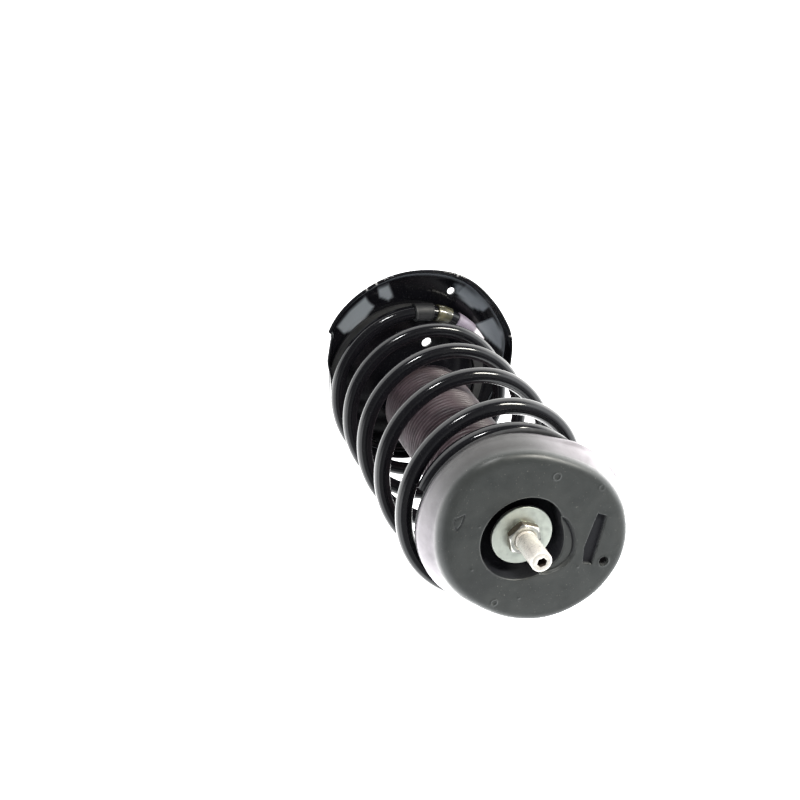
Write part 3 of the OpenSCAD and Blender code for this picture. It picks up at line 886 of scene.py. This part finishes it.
def build_washer():
    inner_r, outer_r, top = THREAD_R + 0.05, 21.25, WASHER_Z + WASHER_T
    profile = rounded(
        [(inner_r, WASHER_Z), (outer_r, WASHER_Z), (outer_r, top), (inner_r, top)],
        [0.3, 0.5, 0.9, 0.3],
    )
    verts, faces = lathe(profile, 144)
    zinc = metal("zinc_passivated", (0.69, 0.73, 0.65), 0.42, lines=0.006, blotch=0.14, scale=260)
    make_piece(
        "mount_washer_disc", verts, faces, zinc, MOUNT, ["mount_washer"], sharp=40
    )


def hexagon_radius(angle, across_flats):
    sector = math.radians(60)
    a = (angle + sector / 2) % sector - sector / 2
    return across_flats / 2 / math.cos(a)


def build_nut():
    base = WASHER_Z + WASHER_T
    top = base + NUT_H
    steps = 144
    flat_turn = math.radians(NUT_TURN + 30)
    angles = even_angles(steps)
    hexagon = np.array([hexagon_radius(a - flat_turn, NUT_AF) for a in angles])
    rows = []

    def add(radius, z):
        rows.append(ring_row(radius, angles, z))

    # both ends are chamfered at 30 degrees, so each side face has curved ends
    crown_r = NUT_AF / 2 - 0.35
    slope = math.tan(math.radians(30))
    fall = np.maximum(hexagon - crown_r, 0) * slope
    add(THREAD_R + 0.1, base)
    add(crown_r, base)
    add(hexagon - 0.25, base + fall * 0.8)
    add(hexagon, base + fall + 0.25)
    for share in (0.33, 0.66):
        add(hexagon, base + fall + 0.25 + share * (NUT_H - 2 * fall - 0.5))
    add(hexagon, top - fall - 0.25)
    add(hexagon - 0.22, top - fall * 0.85 - 0.05)
    add(crown_r, top - 0.02)
    add(crown_r - 0.6, top)
    add(THREAD_R + 1.1, top)
    add(THREAD_R + 0.1, top - 0.9)
    verts = np.concatenate(rows)
    faces = grid_faces(len(rows), steps, close_rows=True)
    plated = Shader("nut_plated", (0.62, 0.62, 0.57), 0.3, metallic=1.0)
    # painted shade: the hex's side faces are painted dark brown while its chamfers and ends stay
    # pale
    flats = [0.0, 0.0, 0.35, 1.0, 1.0, 1.0, 1.0, 0.35, 0.0, 0.0, 0.0, 0.3]
    side = np.repeat(flats, steps)
    plated.color(plated.mix(plated.attribute("side"), (0.62, 0.62, 0.57), (0.17, 0.14, 0.11)))
    plated.rough(plated.span(plated.noise(300, 3.0), 0.24, 0.40, 0.3, 0.7))
    make_piece(
        "rod_nut_hex", verts, faces, plated.material, MOUNT, ["rod_nut"], sharp=25,
        masks={"side": side},
    )


def build_rod():
    steps = 144
    angles = even_angles(steps)
    top_nut = WASHER_Z + WASHER_T + NUT_H
    rod_foot, piston_top = 186.0, 210.0
    socket_af, socket_z = 6.0, ROD_TOP_Z - 8.0
    rows = []

    def add(radius, z):
        rows.append(ring_row(radius, angles, z))

    add(0.02, rod_foot)
    add(4.4, rod_foot)
    add(5.0, rod_foot + 0.6)
    add(5.0, piston_top)
    add(ROD_R - 0.5, piston_top)
    add(ROD_R, piston_top + 0.5)
    add(ROD_R, 300.0)
    add(ROD_R, CORE_Z - 0.5)
    add(ROD_R - 0.5, CORE_Z)
    add(THREAD_R, CORE_Z)
    add(THREAD_R, top_nut - 0.1)
    add(THREAD_R - 0.8, top_nut + 0.25)
    add(THREAD_R - 0.8, top_nut + 1.2)
    add(THREAD_R - 0.1, top_nut + 1.75)
    add(THREAD_R, top_nut + 2.1)
    add(THREAD_R, ROD_TOP_Z - 8)
    add(THREAD_R, ROD_TOP_Z - 1.1)
    add(THREAD_R - 0.2, ROD_TOP_Z - 0.45)
    add(THREAD_R - 0.7, ROD_TOP_Z - 0.08)
    add(THREAD_R - 1.0, ROD_TOP_Z)
    socket = np.array([hexagon_radius(a - math.radians(15), socket_af) for a in angles])
    add(socket + 0.35, ROD_TOP_Z)
    add(socket + 0.1, ROD_TOP_Z - 0.1)
    add(socket, ROD_TOP_Z - 0.35)
    add(socket, socket_z)
    add(0.4 * socket, socket_z - 1.2)
    add(0.02, socket_z - 1.6)
    verts = np.concatenate(rows)
    faces = grid_faces(len(rows), steps)
    faces.append(tuple(range(steps))[::-1])
    faces.append(tuple(range((len(rows) - 1) * steps, len(rows) * steps)))
    s = Shader("rod_satin", (0.90, 0.87, 0.81), 0.3, metallic=0.4)
    bands = s.span(s.noise(60, 3.0, stretch=(1, 1, 0.15)), 0, 1, 0.35, 0.65)
    steel = s.mix(bands, (0.95, 0.92, 0.86), (0.74, 0.68, 0.60))
    # painted shade: the hex socket's walls and floor are painted dark
    bore = np.zeros((len(rows), steps))
    bore[-4:] = 1.0
    s.color(s.mix(s.attribute("bore"), steel, (0.10, 0.075, 0.06)))
    s.rough(s.span(s.noise(500, 3.0, stretch=(1, 1, 6)), 0.24, 0.38, 0.3, 0.7))
    make_piece(
        "piston_rod_shaft", verts, faces, s.material, MOUNT, ["piston_rod"],
        sharp=28, masks={"bore": bore.ravel()},
    )


def build_upper_seat(material):
    """Pressed seat over the top coil, with its rolled edge and the neck round the bearing."""
    seat_z, seat_t = 396.2, 2.0
    profile = rounded(
        [
            (34.3, seat_z - 11.9), (36.3, seat_z - 11.9), (36.3, seat_z), (64.0, seat_z),
            (65.2, seat_z - 1.2), (66.5, seat_z - 0.6), (65.6, seat_z + seat_t),
            (34.3, seat_z + seat_t),
        ],
        [0.4, 0.4, 1.2, 1.0, 0.5, 0.6, 0.9, 0.4],
    )
    verts, faces = lathe(profile, 144)
    make_piece(
        "spring_seat_cap", verts, faces, material, SEAT, ["upper_spring_seat"],
        sharp=35,
    )


# ---------------------------------------------------------------- CAD nodes kept as they are


def paint_node(node, material, bevel=0.0):
    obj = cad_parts[node]
    obj.data.materials.clear()
    obj.data.materials.append(material)
    if bevel:
        mod = obj.modifiers.new("edge", "BEVEL")
        mod.width = bevel * MM
        mod.segments = 2
        mod.limit_method = "ANGLE"
        mod.angle_limit = math.radians(35)
        mod.harden_normals = False


def finish_cad_nodes():
    paint = gloss_paint("damper_paint", (0.008, 0.008, 0.009), 0.2, 0.08, peel=0.02)
    soft = rubber("rubber_pads", (0.02, 0.02, 0.02), 0.5)
    steel = metal("steel_machined", (0.55, 0.55, 0.54), 0.28, lines=0.004)
    race = metal("bearing_steel", (0.62, 0.62, 0.61), 0.18, lines=0.002)
    sinter = metal("sintered_iron", (0.30, 0.30, 0.31), 0.55, lines=0.02, scale=900)
    alloy = metal("guide_alloy", (0.60, 0.61, 0.62), 0.35, lines=0.006)
    brass = metal("valve_brass", (0.66, 0.50, 0.26), 0.3, lines=0.005)
    nylon = rubber("cage_nylon", (0.55, 0.50, 0.36), 0.45, grain=600, depth=0.01, bloom=1.1)
    band = rubber("band_ptfe", (0.22, 0.12, 0.06), 0.4, grain=600, depth=0.01)
    foam = rubber("foam_stop", (0.50, 0.45, 0.28), 0.8, grain=1500, depth=0.15, bloom=1.15)
    plate = rubber("plate_paint", (0.01, 0.01, 0.011), 0.75)
    chrome = metal("ball_chrome", (0.75, 0.75, 0.76), 0.08)
    for node in ("strut_tube", "foot_cup", "tube_cap"):
        paint_node(node, paint, 0.6)
    for node in ("depth_tab", "link_bracket", "hose_bracket", "pan_collar", "striker_cap"):
        paint_node(node, paint, 0.7)
    build_upper_seat(plate)
    build_backing_plate(plate)
    for node in ("lower_insulator", "upper_insulator", "rod_seal", "rebound_stop"):
        paint_node(node, soft, 0.4)
    for node in ("inner_cylinder", "mount_core", "piston_nut"):
        paint_node(node, steel)
    for node in ("bearing_lower_race", "bearing_upper_race"):
        paint_node(node, race)
    paint_node("bearing_balls", chrome)
    paint_node("piston", sinter)
    paint_node("rod_guide", alloy)
    paint_node("base_valve", brass)
    paint_node("bearing_cage", nylon)
    paint_node("piston_band", band)
    paint_node("bump_stop", foam)


# ---------------------------------------------------------------- stage

# Light given off by the floor near and far from the strut, the walls and the ceiling
FLOOR_NEAR, FLOOR_FAR, WALL_LIGHT, CEILING_LIGHT = 1.3, 4.4, 2.6, 0.45
FLOOR_DIM_SPOT = (0.20, 0.15, 0.0)
BACKDROP = 1.1  # plain white for the camera, whatever light the surroundings give
OPENING_SIDE = (0.259, 0.966)  # where the dark opening lies, as a direction over the floor


def set_range(node, source, target):
    """Sets what a map-range node turns into what."""
    for key, pair in (("From", source), ("To", target)):
        for end, value in zip(("Min", "Max"), pair):
            node.inputs[f"{key} {end}"].default_value = value


def add_floor():
    mesh = bpy.data.meshes.new("studio_floor")
    half = 6.0
    corners = [(-half, -half, 0), (half, -half, 0), (half, half, 0), (-half, half, 0)]
    mesh.from_pydata(corners, [], [(0, 1, 2, 3)])
    floor = bpy.data.objects.new("studio_floor", mesh)
    bpy.context.scene.collection.objects.link(floor)
    material = bpy.data.materials.new("floor_white")
    material.use_nodes = True
    shader = material.node_tree.nodes["Principled BSDF"]
    shader.inputs["Base Color"].default_value = (0.9, 0.9, 0.9, 1)
    shader.inputs["Roughness"].default_value = 0.9
    shader.inputs["Specular IOR Level"].default_value = 0.0
    shader.inputs["Emission Color"].default_value = (1, 1, 1, 1)
    # brighter further out, except towards the studio's dark opening
    tree = material.node_tree

    def node(kind, a, b=None, operation=None):
        made = tree.nodes.new(kind)
        if operation:
            made.operation = operation
        tree.links.new(a, made.inputs[0])
        if b is not None:
            tree.links.new(b, made.inputs[1])
        return made

    where = tree.nodes.new("ShaderNodeTexCoord").outputs["Object"]
    moved = node("ShaderNodeVectorMath", where, operation="SUBTRACT")
    moved.inputs[1].default_value = FLOOR_DIM_SPOT
    far = node("ShaderNodeVectorMath", moved.outputs["Vector"], operation="LENGTH").outputs["Value"]
    size = node("ShaderNodeVectorMath", where, operation="LENGTH").outputs["Value"]
    toward = node("ShaderNodeVectorMath", where, operation="DOT_PRODUCT")
    toward.inputs[1].default_value = (*OPENING_SIDE, 0.0)
    share = node("ShaderNodeMath", toward.outputs["Value"], size, "DIVIDE").outputs[0]
    ring = node("ShaderNodeMapRange", far)
    set_range(ring, (0.2, 0.6), (0.0, FLOOR_FAR - FLOOR_NEAR))
    front = node("ShaderNodeMapRange", share)
    set_range(front, (0.0, 0.5), (1.0, 0.0))
    extra = node("ShaderNodeMath", ring.outputs[0], front.outputs[0], "MULTIPLY").outputs[0]
    total = node("ShaderNodeMath", extra, operation="ADD")
    total.inputs[1].default_value = FLOOR_NEAR
    tree.links.new(total.outputs[0], shader.inputs["Emission Strength"])
    mesh.materials.append(material)


def add_area(name, direction, distance, size, power, color=(1, 1, 1), target=(0, 0, 0.33)):
    """Soft box: direction points from the object to the light."""
    light = bpy.data.lights.new(name, "AREA")
    light.shape = "RECTANGLE"
    light.size, light.size_y = size
    light.energy = power
    light.color = color
    obj = bpy.data.objects.new(name, light)
    bpy.context.scene.collection.objects.link(obj)
    d = Vector(direction).normalized()
    obj.location = Vector(target) + d * distance
    obj.rotation_mode = "QUATERNION"
    obj.rotation_quaternion = d.to_track_quat("Z", "Y")
    obj.visible_camera = False


def add_world():
    """White-tent surroundings: bright low walls, a dimmer ceiling, a dark opening at the front."""
    world = bpy.data.worlds.new("studio_tent")
    bpy.context.scene.world = world
    world.use_nodes = True
    tree = world.node_tree
    shader = tree.nodes["Background"]

    def span(value, start, end, low, high):
        made = tree.nodes.new("ShaderNodeMapRange")
        set_range(made, (start, end), (low, high))
        made.interpolation_type = "SMOOTHSTEP"
        tree.links.new(value, made.inputs["Value"])
        return made.outputs["Result"]

    def math_node(operation, a, b):
        made = tree.nodes.new("ShaderNodeMath")
        made.operation = operation
        for socket, value in zip(made.inputs, (a, b)):
            if hasattr(value, "is_linked"):
                tree.links.new(value, socket)
            else:
                socket.default_value = value
        return made.outputs[0]

    split = tree.nodes.new("ShaderNodeSeparateXYZ")
    tree.links.new(tree.nodes.new("ShaderNodeTexCoord").outputs["Generated"], split.inputs[0])
    x, y, z = split.outputs
    along_x = math_node("MULTIPLY", x, OPENING_SIDE[0])
    toward = math_node("ADD", along_x, math_node("MULTIPLY", y, OPENING_SIDE[1]))
    wall = span(z, 0.45, 0.7, WALL_LIGHT, 0.0)
    opening = span(toward, 0.1, 0.5, 1.0, 0.03)
    ceiling = span(y, -0.1, 0.6, CEILING_LIGHT, 0.12)
    total = math_node("ADD", math_node("MULTIPLY", wall, opening), ceiling)
    seen = tree.nodes.new("ShaderNodeLightPath").outputs["Is Camera Ray"]
    backdrop = tree.nodes.new("ShaderNodeMix")
    tree.links.new(seen, backdrop.inputs["Factor"])
    tree.links.new(total, backdrop.inputs["A"])
    backdrop.inputs["B"].default_value = BACKDROP
    tree.links.new(backdrop.outputs[0], shader.inputs["Strength"])
    shader.inputs["Color"].default_value = (0.96, 0.985, 1.0, 1)


def add_lights():
    scene = bpy.context.scene
    add_world()
    add_area("key_strip", (0.357, 0.828, 0.435), 1.5, (0.26, 0.10), 9)
    add_area("side_box", (0.85, 0.22, 0.46), 1.5, (0.5, 0.2), 20, color=(1.0, 0.97, 0.88))
    scene.view_settings.view_transform = "Standard"
    scene.view_settings.look = "None"


def add_camera():
    right = Vector((0.83, -0.4939, 0.259))
    up = Vector((0.5577, 0.7351, -0.3855))
    forward = Vector((0.0, -0.4644, -0.8856))
    data = bpy.data.cameras.new("camera")
    data.sensor_width = 36.0
    data.lens = 40.5
    data.clip_start, data.clip_end = 0.02, 50
    camera = bpy.data.objects.new("camera", data)
    bpy.context.scene.collection.objects.link(camera)
    axes = Matrix((right, up, -forward)).transposed()
    camera.matrix_world = Matrix.Translation((-0.0169, 0.3776, 0.8858)) @ axes.to_4x4()
    bpy.context.scene.camera = camera


add_camera()
build_spring()
build_sleeves()
build_bellows()
build_pan()
build_mount_rubber()
build_washer()
build_nut()
build_rod()
finish_cad_nodes()
add_floor()
add_lights()
